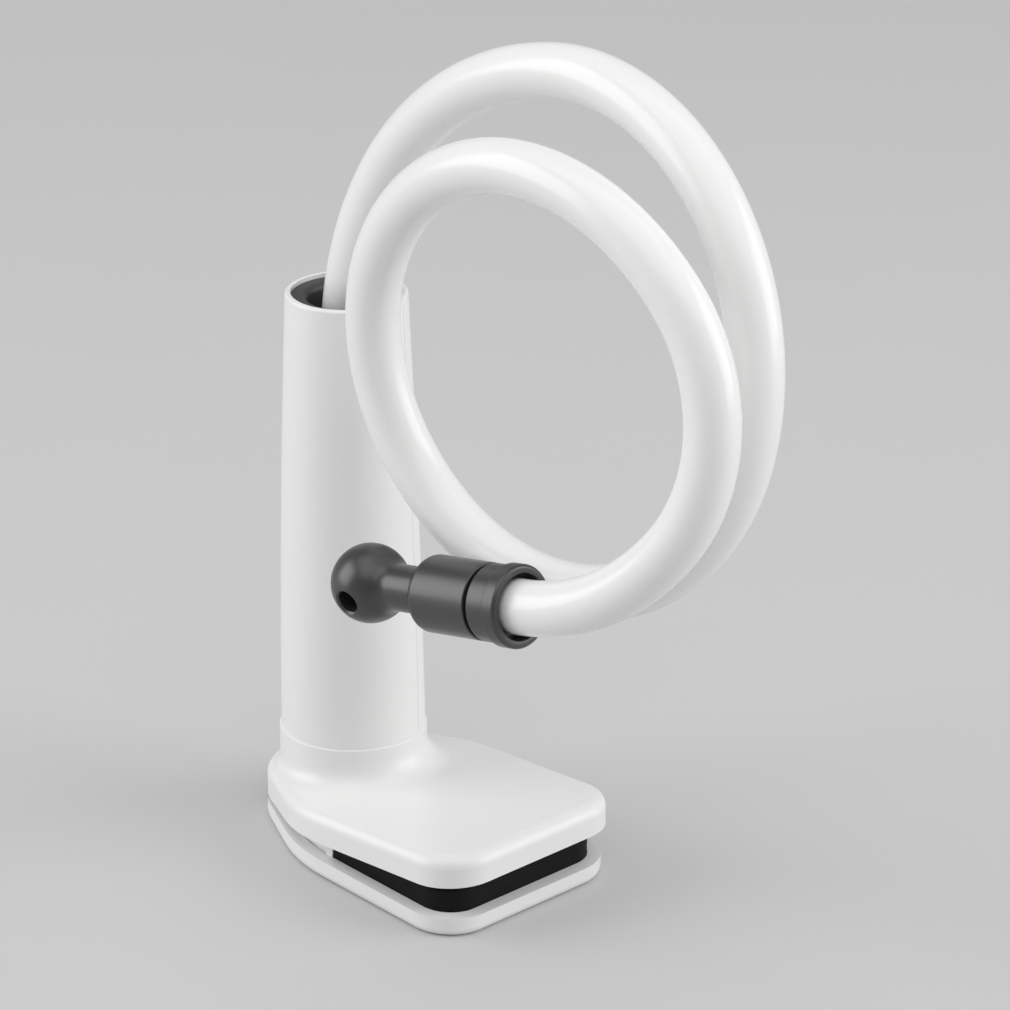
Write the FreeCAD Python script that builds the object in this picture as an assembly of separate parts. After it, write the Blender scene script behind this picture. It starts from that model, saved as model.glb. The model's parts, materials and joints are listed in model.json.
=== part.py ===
"""Gooseneck tablet holder: a coiled flexible arm with a ball end, standing on a spring clamp.

Millimetres, +Z up. The origin is on the clamp's flat underside, about where the column's axis meets it.
The clamp's jaws reach towards -Y, and the hinge that joins them runs along X at the back.
The upper jaw, the column and the arm are made upright, then turned back together about the hinge.
"""
import FreeCAD
import Part
import math
import os

V = FreeCAD.Vector
UP = V(0, 0, 1)
ALONG_X = V(1, 0, 0)

# Jaw plan, shared by both jaws apart from how far they reach
JAW_HALF_WIDTH = 26.5
LOWER_FRONT = 58.6
UPPER_FRONT = 59.9
JAW_BACK_R = 19.5
JAW_FLARE_DEG = 26.5
JAW_CORNER_R = 10.8
JAW_SHOULDER_R = 36.0

# Lower jaw
LOWER_HEIGHT = 4.6
LOWER_FLOOR = 1.6
LOWER_BACK_FLOOR = 0.9
LOWER_EDGE_R = 1.9
LOWER_RIM = 3.0
LOWER_POCKET_FLOOR = 1.8
CROSS_WALL = 2.0

# Upper jaw, whose underside rises from the hinge, and how far the column on it leans back
JAW_ANGLE_DEG = 2.8
LEAN_DEG = 3.0
UPPER_THICK = 7.0
UPPER_EDGE_R = 2.8
UPPER_EDGE_BACK_R = 2.4
UPPER_SKIRT_WALL = 2.2
UPPER_SKIRT_ROOM = 3.8
UPPER_POCKET_DEPTH = 1.2
UPPER_LIP_WALL = 1.4
UPPER_LIP_CLEAR = 0.4
UPPER_LIP_OVERLAP = 1.0
COLLAR_R = 16.5
COLLAR_WALL = 2.6
COLLAR_TOP = 22.7
COLLAR_EDGE_R = 0.4
COLLAR_FILLET_FRONT_R = 6.0
COLLAR_FILLET_BACK_R = 0.5
DECK_UNDER = 12.1
DECK_THICK = 3.5
CAVITY_R = 14.0

# Pads
PAD_BACK = 18.5
PAD_CLEAR = 0.15
PAD_UPPER_SETBACK = 0.4
PAD_UPPER_PROUD = 1.8
PAD_GAP = 0.3
PAD_EDGE_R = 0.6

# Hinge at the back of the jaws
HINGE_Y = 11.8
HINGE_Z = 5.6
HINGE_OPEN_DEG = 30.0
HINGE_RELIEF_DEG = 5.0
PIN_R = 1.5
PIN_HALF = 9.4
PIN_CLEAR = 0.05
PIN_CHAMFER = 0.3
EAR_R = 3.0
EAR_LOWER_IN = 5.0
EAR_LOWER_OUT = 7.0
EAR_UPPER_IN = 7.2
EAR_UPPER_WEB = 4.0
EAR_SWING_CLEAR = 0.4

# Torsion spring round the hinge pin
SPRING_WIRE_R = 0.65
SPRING_MEAN_R = 2.9
SPRING_TURNS = 4.5
SPRING_PITCH = 1.5
SPRING_LEG = 21.5
KEEPER_LENGTH = 3.0
KEEPER_WALL = 1.2
KEEPER_SETBACK = 1.0
KEEPER_CLEAR = 0.3

# Column: two half shells over the arm's root
COLUMN_FOOT_R = 16.1
COLUMN_MOUTH_R = 13.4
COLUMN_TOP = 125.1
COLUMN_BARREL = 0.45
COLUMN_WALL = 2.0
COLUMN_LIP_WALL = 1.2
COLUMN_LIP_R = 0.5
SPIGOT_WALL = 2.0
SPIGOT_CLEAR = 0.1
SEAM_TURN_DEG = 23.0
SEAM_GAP = 0.04
SEAM_EDGE_R = 0.4

# Ring in the column's mouth
RING_HEIGHT = 6.0
RING_BELOW_LIP = 0.9
RING_EDGE_R = 1.6
RING_CLEAR = 0.05
RING_ARM_GAP = 1.6

# Screws that come up through the deck
BOSS_OFFSET = 10.5
BOSS_R = 3.2
BOSS_TOP = 27.0
SCREW_R = 1.5
SCREW_HEAD_R = 2.75
SCREW_HEAD_H = 2.0
SCREW_LENGTH = 12.0
ARM_SCREW_R = 2.5
ARM_SCREW_HEAD_R = 4.5
ARM_SCREW_HEAD_H = 2.3
ARM_SCREW_LENGTH = 10.0
SCREW_CLEAR = 0.1
SCREW_SLOT = 1.0
SCREW_CHAMFER = 0.5
SCREW_END_ROOM = 1.0

# Plug that holds the arm's lower end on the deck
PLUG_HEX = 13.0
PLUG_HEX_CLEAR = 0.1
PLUG_HEX_SUNK = 1.8
PLUG_HEX_TOP = 19.0
PLUG_TOP = 34.0
PLUG_R = 5.8
PLUG_SOCKET_FLOOR = 23.0

# Flexible arm: a soft metal core in a smooth sleeve
SLEEVE_R = 5.8
CORE_R = 4.0
CORE_CLEAR = 0.08
ARM_BEND_BELOW_MOUTH = 14.2
ARM_FIRST_BEND_DEG = -91.0
ARM_COIL_R = 48.0
# Each bend of the set arm: radius as a share of the coil's, angle turned, roll of the next bend's plane
ARM_BENDS = (
    (1.68, 79.0, -6.0),
    (1.14, 114.0, -7.0),
    (1.06, 93.0, -9.0),
    (0.93, 100.0, -1.0),
    (1.06, 111.0, -12.0),
    (0.85, 79.0, 10.0),
    (1.2, 45.0, 0.0),
)

# Ball connector, measured from the ball's centre towards the arm
BALL_R = 8.5
BALL_HOLE_R = 2.5
BALL_HOLE_ROLL_DEG = -15.0
NECK_R = 4.6
NECK_FILLET_R = 4.0
BODY_R = 8.2
BODY_START = 15.0
BODY_END = 31.5
BODY_SHOULDER_R = 2.0
BODY_SPIGOT_R = 6.8
BODY_SPIGOT_END = 36.5
BODY_SOCKET_START = 20.0
FERRULE_GAP = 0.9
FERRULE_END = 43.5
FERRULE_RING_R = 8.8
FERRULE_RING_START = 38.6
FERRULE_GRIP_END = 39.8
FERRULE_MOUTH_R = 7.0
FERRULE_CLEAR = 0.08
FERRULE_EDGE_R = 0.5

# Worked out from the sizes above
DECK_TOP = DECK_UNDER + DECK_THICK
COLLAR_BORE_R = COLLAR_R - COLLAR_WALL
SPIGOT_R = COLLAR_BORE_R - SPIGOT_CLEAR
RING_R = COLUMN_MOUTH_R - COLUMN_LIP_WALL - RING_CLEAR
RING_TOP = COLUMN_TOP - RING_BELOW_LIP
RING_FOOT = RING_TOP - RING_HEIGHT
HINGE = V(0, HINGE_Y, HINGE_Z)
JAW_OPENING_DEG = JAW_ANGLE_DEG + LEAN_DEG
SPRING_WOUND = SPRING_TURNS - LEAN_DEG / 360
BAY_FRONT = PAD_BACK - CROSS_WALL
ARM_RISE = COLUMN_TOP - ARM_BEND_BELOW_MOUTH
ARM_FIRST_R = ARM_COIL_R * ARM_BENDS[0][0]
ARM_DRIFT = ARM_FIRST_R - math.sqrt(ARM_FIRST_R ** 2 - (RING_TOP - ARM_RISE) ** 2)
RING_HOLE_R = SLEEVE_R + ARM_DRIFT + RING_ARM_GAP

# Longer than the whole part, and how near counts as the same place
FAR = 200.0
SAME = 1e-6
NEAR = 0.01


def corner_arc(before, corner, after, radius):
    """Start, middle and end of the arc that rounds one corner of a plan outline."""
    back = (before - corner).normalize()
    ahead = (after - corner).normalize()
    half = back.getAngle(ahead) / 2
    reach = radius / math.tan(half)
    inward = (back + ahead).normalize()
    centre = corner + inward * (radius / math.sin(half))
    return corner + back * reach, centre - inward * radius, corner + ahead * reach


def jaw_outline(reach, inset, z):
    """Plan of a jaw, inset evenly: round back, flared flanks, square front with round corners."""
    flare = math.radians(JAW_FLARE_DEG)
    half = JAW_HALF_WIDTH - inset
    back_r = JAW_BACK_R - inset
    front = reach - inset
    tangent_x = back_r * math.cos(flare)
    tangent_y = back_r * math.sin(flare)
    shoulder_y = tangent_y - (half - tangent_x) / math.tan(flare)
    points = [
        V(-tangent_x, tangent_y, z),
        V(-half, shoulder_y, z),
        V(-half, -front, z),
        V(half, -front, z),
        V(half, shoulder_y, z),
        V(tangent_x, tangent_y, z),
    ]
    radii = [JAW_SHOULDER_R, JAW_CORNER_R, JAW_CORNER_R, JAW_SHOULDER_R]
    edges = []
    here = points[0]
    for index, radius in enumerate(radii, start=1):
        start, middle, end = corner_arc(points[index - 1], points[index], points[index + 1], radius - inset)
        edges.append(Part.makeLine(here, start))
        edges.append(Part.Arc(start, middle, end).toShape())
        here = end
    edges.append(Part.makeLine(here, points[-1]))
    edges.append(Part.Arc(points[-1], V(0, back_r, z), points[0]).toShape())
    return Part.Wire(edges)


def jaw_prism(reach, inset, low, high):
    """Upright block with a jaw's plan."""
    return Part.Face(jaw_outline(reach, inset, low)).extrude(UP * (high - low))


def band(y_low, y_high):
    """Wide block between two Y planes, used to keep or cut a stretch of the jaws."""
    return Part.makeBox(2 * FAR, y_high - y_low, 2 * FAR, V(-FAR, y_low, -FAR))


def tilted_slab(angle, low, high):
    """Slab that rises from the hinge towards the front, with heights measured from the hinge axis."""
    slab = Part.makeBox(2 * FAR, 2 * FAR, high - low, V(-FAR, HINGE_Y - FAR, HINGE_Z + low))
    slab.rotate(HINGE, ALONG_X, -angle)
    return slab


def disc_x(radius, x_low, x_high):
    """Cylinder on the hinge axis."""
    return Part.makeCylinder(radius, x_high - x_low, V(x_low, HINGE_Y, HINGE_Z), ALONG_X)


def both_sides(shape):
    """A shape and its mirror image across the jaws' middle plane."""
    return shape.fuse(shape.mirror(V(0, 0, 0), ALONG_X))


def turned(profile):
    """Solid of revolution about Z: a step of two numbers ends a line, one of four gives an arc."""
    edges = []
    first = V(profile[0][0], 0, profile[0][1])
    here = first
    for step in profile[1:]:
        if len(step) == 4:
            end = V(step[2], 0, step[3])
            edges.append(Part.Arc(here, V(step[0], 0, step[1]), end).toShape())
        else:
            end = V(step[0], 0, step[1])
            edges.append(Part.makeLine(here, end))
        here = end
    edges.append(Part.makeLine(here, first))
    return Part.Face(Part.Wire(edges)).revolve(V(0, 0, 0), UP, 360)


def blended(shape, wanted, radius_at):
    """Round the wanted edges with a radius that changes from one end of an edge to the other."""
    radii = []
    for number, edge in enumerate(shape.Edges, start=1):
        if wanted(edge):
            radii.append((number, radius_at(edge.Vertexes[0].Y), radius_at(edge.Vertexes[-1].Y)))
    document = FreeCAD.newDocument()
    base = document.addObject("Part::Feature", "base")
    base.Shape = shape
    fillet = document.addObject("Part::Fillet", "fillet")
    fillet.Base = base
    fillet.Edges = radii
    document.recompute()
    result = fillet.Shape.copy()
    FreeCAD.closeDocument(document.Name)
    return result


def is_upright(edge):
    """True for a straight edge that runs along Z."""
    box = edge.BoundBox
    return box.XLength < SAME and box.YLength < SAME


def is_ring_at(edge, z):
    """True for an edge that lies level at a height and goes round the Z axis."""
    box = edge.BoundBox
    return abs(box.ZMin - z) < SAME and abs(box.ZMax - z) < SAME and box.XMin < 0 < box.XMax


def lower_jaw():
    """Tray with a flat rim, a pad pocket, an open hinge bay at the back and two hinge ears."""
    body = jaw_prism(LOWER_FRONT, 0, 0, LOWER_HEIGHT)
    bottom = [edge for edge in body.Edges if edge.BoundBox.ZMax < SAME]
    body = body.makeFillet(LOWER_EDGE_R, bottom)
    pocket = jaw_prism(LOWER_FRONT, LOWER_RIM, LOWER_POCKET_FLOOR, FAR)
    body = body.cut(pocket.common(band(-FAR, -PAD_BACK)))
    bay = jaw_prism(LOWER_FRONT, LOWER_RIM, LOWER_FLOOR, FAR)
    body = body.cut(bay.common(band(-BAY_FRONT, FAR)))
    wall = bay.common(band(-PAD_BACK, -BAY_FRONT))
    body = body.fuse(wall.common(tilted_slab(JAW_OPENING_DEG, -FAR, -PAD_GAP)))
    # The back rim falls away so that the upper jaw's skirt can swing down
    relief = Part.makeBox(2 * FAR, FAR, FAR, V(-FAR, HINGE_Y, HINGE_Z - PAD_GAP))
    relief.rotate(HINGE, ALONG_X, -(HINGE_OPEN_DEG + JAW_OPENING_DEG + HINGE_RELIEF_DEG))
    clear = Part.makeBox(2 * FAR, FAR, FAR, V(-FAR, HINGE_Y - EAR_R, LOWER_BACK_FLOOR))
    body = body.cut(relief.common(clear))
    swing = disc_x(EAR_R + EAR_SWING_CLEAR, EAR_LOWER_OUT, PIN_HALF + EAR_SWING_CLEAR)
    body = body.cut(both_sides(swing))
    ear = disc_x(EAR_R, EAR_LOWER_IN, EAR_LOWER_OUT)
    root = LOWER_FLOOR / 2
    corner = V(EAR_LOWER_IN, HINGE_Y - EAR_R, root)
    web = Part.makeBox(EAR_LOWER_OUT - EAR_LOWER_IN, 2 * EAR_R, HINGE_Z - root, corner)
    body = body.fuse(both_sides(ear.fuse(web)))
    body = body.cut(disc_x(PIN_R + PIN_CLEAR, -FAR, FAR))
    return body.fuse(spring_keeper(-1)).removeSplitter()


def spring_slope():
    """Sideways drift of the spring's wire for each millimetre along it."""
    turn_length = math.hypot(2 * math.pi * SPRING_MEAN_R, SPRING_PITCH)
    return SPRING_PITCH / turn_length


def spring_keeper(side):
    """Staple round the tip of a spring leg: side -1 on the lower jaw, 1 on the upper one."""
    leg_z = HINGE_Z + side * SPRING_MEAN_R
    hole = SPRING_WIRE_R + KEEPER_CLEAR
    outer = hole + KEEPER_WALL
    y_low = HINGE_Y - SPRING_LEG + KEEPER_SETBACK
    reach = SPRING_LEG - KEEPER_SETBACK - KEEPER_LENGTH / 2
    leg_x = side * (SPRING_WOUND * SPRING_PITCH / 2 + reach * spring_slope())
    root = LOWER_FLOOR / 2 if side < 0 else DECK_UNDER + KEEPER_WALL / 2
    far_face = leg_z - side * outer
    low = min(root, far_face)
    block = Part.makeBox(2 * outer, KEEPER_LENGTH, abs(root - far_face), V(leg_x - outer, y_low, low))
    tunnel = Part.makeBox(2 * hole, 2 * FAR, 2 * hole, V(leg_x - hole, y_low - FAR, leg_z - hole))
    return block.cut(tunnel)


def plate_height(y):
    """Height of the upper jaw's underside at a place along Y."""
    return HINGE_Z + (HINGE_Y - y) * math.tan(math.radians(JAW_ANGLE_DEG))


def upper_outer():
    """Outside of the upper jaw: sloping plate, round collar and the soft blend between them."""
    foot = V(0, 0, HINGE_Z + UPPER_THICK / 2)
    body = tilted_slab(JAW_ANGLE_DEG, 0, UPPER_THICK)
    # Two half cylinders, so that the blend can change from the front to the back
    for start in (-90, 90):
        half = Part.makeCylinder(COLLAR_R, COLLAR_TOP - foot.z, foot, UP, 180)
        half.rotate(V(0, 0, 0), UP, start)
        body = body.fuse(half)
    body = blended(body, is_collar_root, collar_fillet)
    body = body.common(jaw_prism(UPPER_FRONT, 0, 0, FAR))
    wall = Part.makeShell(jaw_prism(UPPER_FRONT, 0, -FAR, FAR).Faces)
    body = blended(body, lambda edge: is_top_rim(edge, wall), rim_fillet)
    return body.makeFillet(COLLAR_EDGE_R, [edge for edge in body.Edges if is_collar_edge(edge)])


def is_collar_root(edge):
    """True for the curve where the collar stands on the plate."""
    box = edge.BoundBox
    level = box.ZMax < COLLAR_TOP - COLLAR_EDGE_R and box.ZMin > HINGE_Z + UPPER_THICK / 2
    return level and abs(box.YLength - 2 * COLLAR_R) < NEAR


def collar_fillet(y):
    """Radius of the blend round the collar: large over the jaw, small where the back ledge is narrow."""
    share = (y + COLLAR_R) / (2 * COLLAR_R)
    return COLLAR_FILLET_FRONT_R + (COLLAR_FILLET_BACK_R - COLLAR_FILLET_FRONT_R) * share


def is_collar_edge(edge):
    """True for the collar's top edge."""
    box = edge.BoundBox
    return abs(box.ZMin - COLLAR_TOP) < SAME and box.YLength > COLLAR_R


def rim_fillet(y):
    """Radius of the upper jaw's top edge: smaller where the back ledge is narrow."""
    return UPPER_EDGE_BACK_R if y > 0 else UPPER_EDGE_R


def is_top_rim(edge, wall):
    """True for an edge along the top of the upper jaw's outer wall."""
    middle = edge.valueAt((edge.FirstParameter + edge.LastParameter) / 2)
    if is_upright(edge) or middle.z < plate_height(middle.y) + UPPER_THICK / 2:
        return False
    return wall.distToShape(Part.Vertex(middle))[0] < NEAR and middle.z < COLLAR_TOP - COLLAR_EDGE_R


def upper_lip():
    """Lip under the upper jaw that hangs inside the lower jaw's rim and hides the hinge bay."""
    outer = LOWER_RIM + UPPER_LIP_CLEAR
    ring = jaw_prism(LOWER_FRONT, outer, LOWER_HEIGHT - UPPER_LIP_OVERLAP, FAR)
    ring = ring.cut(jaw_prism(LOWER_FRONT, outer + UPPER_LIP_WALL, 0, FAR))
    ring = ring.common(band(-BAY_FRONT + UPPER_LIP_CLEAR, HINGE_Y - EAR_R))
    ring.rotate(HINGE, ALONG_X, LEAN_DEG)
    return ring.common(tilted_slab(JAW_ANGLE_DEG, -FAR, UPPER_SKIRT_ROOM + UPPER_LIP_CLEAR))


def upper_jaw():
    """Upper jaw: shell under the collar, deck with screw holes, pad pocket, ears and a keeper."""
    body = upper_outer()
    below = tilted_slab(JAW_ANGLE_DEG, -FAR, UPPER_SKIRT_ROOM)
    skirt_room = jaw_prism(UPPER_FRONT, UPPER_SKIRT_WALL, 0, FAR).common(below)
    body = body.cut(skirt_room.common(band(-BAY_FRONT, FAR)))
    body = body.fuse(upper_lip())
    body = body.cut(Part.makeCylinder(CAVITY_R, DECK_UNDER, V(0, 0, 0)))
    body = body.cut(Part.makeCylinder(COLLAR_BORE_R, FAR, V(0, 0, DECK_TOP)))
    below = tilted_slab(JAW_ANGLE_DEG, -FAR, UPPER_POCKET_DEPTH)
    pocket = jaw_prism(UPPER_FRONT, LOWER_RIM, 0, FAR).common(below)
    body = body.cut(pocket.common(band(-FAR, -PAD_BACK - PAD_UPPER_SETBACK)))
    for centre in boss_centres():
        body = body.cut(Part.makeCylinder(SCREW_R + SCREW_CLEAR, FAR, centre))
    body = body.cut(Part.makeCylinder(ARM_SCREW_R + SCREW_CLEAR, DECK_TOP))
    body = body.cut(hexagon(PLUG_HEX + 2 * PLUG_HEX_CLEAR, DECK_TOP - PLUG_HEX_SUNK, DECK_TOP))
    ear = disc_x(EAR_R, EAR_UPPER_IN, PIN_HALF)
    corner = V(EAR_UPPER_IN, HINGE_Y - EAR_R, HINGE_Z)
    web = Part.makeBox(PIN_HALF - EAR_UPPER_IN, 2 * EAR_R, EAR_UPPER_WEB, corner)
    body = body.fuse(both_sides(ear.fuse(web)))
    body = body.cut(disc_x(PIN_R + PIN_CLEAR, -PIN_HALF, PIN_HALF))
    return body.fuse(spring_keeper(1)).removeSplitter()


def boss_centres():
    """Places of the two column screws, under the deck."""
    return [V(-BOSS_OFFSET, 0, 0), V(BOSS_OFFSET, 0, 0)]


def hexagon(across_flats, low, high):
    """Upright hexagonal bar on the column axis, with two flats facing the screw bosses."""
    sides = 6
    radius = across_flats / 2 / math.cos(math.pi / sides)
    corners = []
    for step in range(sides + 1):
        angle = 2 * math.pi * (step + 0.5) / sides
        corners.append(V(radius * math.cos(angle), radius * math.sin(angle), low))
    return Part.Face(Part.makePolygon(corners)).extrude(UP * (high - low))


def lower_pad():
    """Grip pad in the lower jaw, a wedge whose top lies along the upper pad."""
    block = jaw_prism(LOWER_FRONT, LOWER_RIM + PAD_CLEAR, LOWER_POCKET_FLOOR, FAR)
    block = block.common(band(-FAR, -PAD_BACK - PAD_CLEAR))
    block = block.common(tilted_slab(JAW_OPENING_DEG, -FAR, -PAD_UPPER_PROUD - PAD_GAP))
    top = [edge for edge in block.Edges if edge.BoundBox.ZMin > LOWER_POCKET_FLOOR + PAD_EDGE_R]
    return block.makeFillet(PAD_EDGE_R, top)


def upper_pad():
    """Grip pad in the upper jaw, of even thickness."""
    block = jaw_prism(UPPER_FRONT, LOWER_RIM + PAD_CLEAR, 0, FAR)
    block = block.common(band(-FAR, -PAD_BACK - PAD_UPPER_SETBACK - PAD_CLEAR))
    block = block.common(tilted_slab(JAW_ANGLE_DEG, -PAD_UPPER_PROUD, UPPER_POCKET_DEPTH))
    low = tilted_slab(JAW_ANGLE_DEG, -PAD_UPPER_PROUD - NEAR, -PAD_UPPER_PROUD + NEAR)
    edges = []
    for edge in block.Edges:
        if low.isInside(edge.CenterOfMass, SAME, True) and not is_upright(edge):
            edges.append(edge)
    return block.makeFillet(PAD_EDGE_R, edges)


def hinge_pin():
    """Steel pin through the ears of both jaws."""
    pin = disc_x(PIN_R, -PIN_HALF, PIN_HALF)
    ends = [edge for edge in pin.Edges if edge.BoundBox.XLength < SAME]
    return pin.makeChamfer(PIN_CHAMFER, ends)


def torsion_spring():
    """Close-wound spring on the pin, with a straight leg forward along each jaw."""
    half = SPRING_WOUND * SPRING_PITCH / 2
    coil = Part.makeHelix(SPRING_PITCH, 2 * half, SPRING_MEAN_R)
    # The wire starts on the underside at -X and ends on the top at +X
    turn = FreeCAD.Rotation(V(0, 0, -1), V(0, 1, 0), ALONG_X, "ZXY")
    coil.Placement = FreeCAD.Placement(V(-half, HINGE_Y, HINGE_Z), turn)
    wound = coil.Edges[0]
    start = wound.valueAt(wound.FirstParameter)
    heading = wound.tangentAt(wound.FirstParameter)
    tip = start - heading * SPRING_LEG
    end = wound.valueAt(wound.LastParameter)
    leaving = wound.tangentAt(wound.LastParameter)
    path = Part.Wire([Part.makeLine(tip, start), wound, Part.makeLine(end, end + leaving * SPRING_LEG)])
    section = Part.Wire(Part.makeCircle(SPRING_WIRE_R, tip, heading))
    return path.makePipeShell([section], True, False)


def column_mid_r(inset):
    """Radius halfway up the column, a little more than the straight taper gives."""
    return (COLUMN_FOOT_R + COLUMN_MOUTH_R) / 2 + COLUMN_BARREL - inset


def column_solid(inset):
    """Tapered, slightly barrelled column, inset evenly and filled."""
    middle = (COLLAR_TOP + COLUMN_TOP) / 2
    return turned([
        (0, COLLAR_TOP),
        (COLUMN_FOOT_R - inset, COLLAR_TOP),
        (column_mid_r(inset), middle, COLUMN_MOUTH_R - inset, COLUMN_TOP),
        (0, COLUMN_TOP),
    ])


def column_body():
    """The whole column before it is split: shell, foot spigot, screw bosses and ring seat."""
    body = column_solid(0)
    lip = [edge for edge in body.Edges if is_ring_at(edge, COLUMN_TOP)]
    body = body.makeFillet(COLUMN_LIP_R, lip)
    foot_top = COLLAR_TOP + COLUMN_WALL
    room = Part.makeBox(2 * FAR, 2 * FAR, FAR, V(-FAR, -FAR, foot_top))
    body = body.cut(column_solid(COLUMN_WALL).common(room))
    body = body.fuse(Part.makeCylinder(SPIGOT_R, foot_top - DECK_TOP, V(0, 0, DECK_TOP)))
    body = body.cut(Part.makeCylinder(SPIGOT_R - SPIGOT_WALL, foot_top))
    for centre in boss_centres():
        boss = Part.makeCylinder(BOSS_R, BOSS_TOP - DECK_TOP, centre + UP * DECK_TOP)
        body = body.fuse(boss.common(Part.makeCylinder(SPIGOT_R, FAR)))
        body = body.cut(Part.makeCylinder(SCREW_R + SCREW_CLEAR, BOSS_TOP, centre))
    seat = Part.makeCylinder(RING_R + RING_CLEAR, FAR, V(0, 0, RING_FOOT))
    return body.cut(seat).removeSplitter()


def column_halves():
    """Left and right shells, with rounded edges that make a soft valley along the seam."""
    body = column_body()
    halves = []
    for turn in (180, 0):
        half = Part.makeBox(FAR, 2 * FAR, 2 * FAR, V(SEAM_GAP / 2, -FAR, -FAR))
        half.rotate(V(0, 0, 0), UP, SEAM_TURN_DEG + turn)
        shell = body.common(half)
        halves.append(shell.makeFillet(SEAM_EDGE_R, [edge for edge in shell.Edges if is_seam(edge)]))
    return halves


def is_seam(edge):
    """True for the long outer edge of a column shell, halfway up on the column's outside."""
    middle = edge.valueAt((edge.FirstParameter + edge.LastParameter) / 2)
    long_edge = edge.BoundBox.ZLength > (COLUMN_TOP - COLLAR_TOP) / 2
    return long_edge and abs(math.hypot(middle.x, middle.y) - column_mid_r(0)) < COLUMN_WALL / 2


def mouth_ring():
    """Dark ring in the mouth of the column, with a rounded inner edge that the arm leans on."""
    ring = turned([
        (RING_HOLE_R, RING_FOOT),
        (RING_R, RING_FOOT),
        (RING_R, RING_TOP),
        (RING_HOLE_R, RING_TOP),
    ])
    inner = [edge for edge in ring.Edges if is_ring_at(edge, RING_TOP) and edge.BoundBox.XMax < RING_R - SAME]
    return ring.makeFillet(RING_EDGE_R, inner)


def screw(centre, radius, head_r, head_h, length):
    """Screw that points up, with a domed slotted head under the deck."""
    top = DECK_UNDER
    shank = Part.makeCylinder(radius, length, V(0, 0, top))
    tip = [edge for edge in shank.Edges if is_ring_at(edge, top + length)]
    shank = shank.makeChamfer(SCREW_CHAMFER, tip)
    head = Part.makeCylinder(head_r, head_h, V(0, 0, top - head_h))
    rim = [edge for edge in head.Edges if is_ring_at(edge, top - head_h)]
    head = head.makeFillet(head_h / 2, rim)
    slot = Part.makeBox(2 * FAR, SCREW_SLOT, head_h / 2, V(-FAR, -SCREW_SLOT / 2, top - head_h))
    body = shank.fuse(head.cut(slot)).removeSplitter()
    body.translate(centre)
    return body


def column_screws():
    """The two screws that hold the column shells down on the deck."""
    screws = [screw(c, SCREW_R, SCREW_HEAD_R, SCREW_HEAD_H, SCREW_LENGTH) for c in boss_centres()]
    return Part.makeCompound(screws)


def arm_screw():
    """The screw that holds the arm's plug down on the deck."""
    return screw(V(0, 0, 0), ARM_SCREW_R, ARM_SCREW_HEAD_R, ARM_SCREW_HEAD_H, ARM_SCREW_LENGTH)


def arm_plug():
    """Turned plug with a hexagonal foot sunk in the deck and a socket for the core."""
    foot = DECK_TOP - PLUG_HEX_SUNK
    body = hexagon(PLUG_HEX, foot, PLUG_HEX_TOP)
    body = body.fuse(Part.makeCylinder(PLUG_R, PLUG_TOP - PLUG_HEX_TOP, V(0, 0, PLUG_HEX_TOP)))
    body = body.cut(Part.makeCylinder(CORE_R + CORE_CLEAR, FAR, V(0, 0, PLUG_SOCKET_FLOOR)))
    thread = DECK_UNDER + ARM_SCREW_LENGTH + SCREW_END_ROOM
    return body.cut(Part.makeCylinder(ARM_SCREW_R + SCREW_CLEAR / 2, thread - foot, V(0, 0, foot)))


def arm_path():
    """Bends of the arm as (start, heading, inward normal, radius, angle), and where the last one ends."""
    place = V(0, 0, ARM_RISE)
    heading = V(0, 0, 1)
    turn = math.radians(ARM_FIRST_BEND_DEG)
    inward = V(math.cos(turn), math.sin(turn), 0)
    bends = []
    for share, angle, roll in ARM_BENDS:
        radius = share * ARM_COIL_R
        bends.append((place, heading, inward, radius, angle))
        a = math.radians(angle)
        place = place + heading * (radius * math.sin(a)) + inward * (radius * (1 - math.cos(a)))
        before = heading
        heading = before * math.cos(a) + inward * math.sin(a)
        inward = inward * math.cos(a) - before * math.sin(a)
        inward = FreeCAD.Rotation(heading, roll).multVec(inward)
    return bends, place, heading


def arm_section(place, heading, outer, inner):
    """Round or ring-shaped section across the arm."""
    edge = Part.Wire(Part.makeCircle(outer, place, heading))
    if not inner:
        return Part.Face(edge)
    return Part.Face(edge).cut(Part.Face(Part.Wire(Part.makeCircle(inner, place, heading)))).Faces[0]


def arm_tube(outer, inner, low, tail):
    """Straight rise, tangent bends and a straight tail, as one solid."""
    bends, end, heading = arm_path()
    runs = [arm_section(V(0, 0, low), UP, outer, inner).extrude(UP * (ARM_RISE - low))]
    for place, ahead, inward, radius, angle in bends:
        section = arm_section(place, ahead, outer, inner)
        runs.append(section.revolve(place + inward * radius, ahead.cross(inward), angle))
    runs.append(arm_section(end, heading, outer, inner).extrude(heading * tail))
    return runs[0].multiFuse(runs[1:]).removeSplitter()


def arm_sleeve():
    """Smooth sleeve over the core, from the plug to inside the ferrule."""
    return arm_tube(SLEEVE_R, CORE_R + CORE_CLEAR, PLUG_TOP, FERRULE_END - BODY_SPIGOT_END)


def arm_core():
    """Soft metal core that holds the arm's set, from the plug's socket to the ball stud's."""
    return arm_tube(CORE_R, 0, PLUG_SOCKET_FLOOR, FERRULE_END - BODY_SOCKET_START)


def connector_place():
    """Frame at the ball's centre: Z back along the arm, X along the cross hole."""
    bends, end, heading = arm_path()
    side = ALONG_X * -1
    side = side - heading * side.dot(heading)
    side = FreeCAD.Rotation(heading, BALL_HOLE_ROLL_DEG).multVec(side)
    turn = FreeCAD.Rotation(side, V(0, 0, 0), heading * -1, "ZXY")
    return FreeCAD.Placement(end + heading * FERRULE_END, turn)


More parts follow.
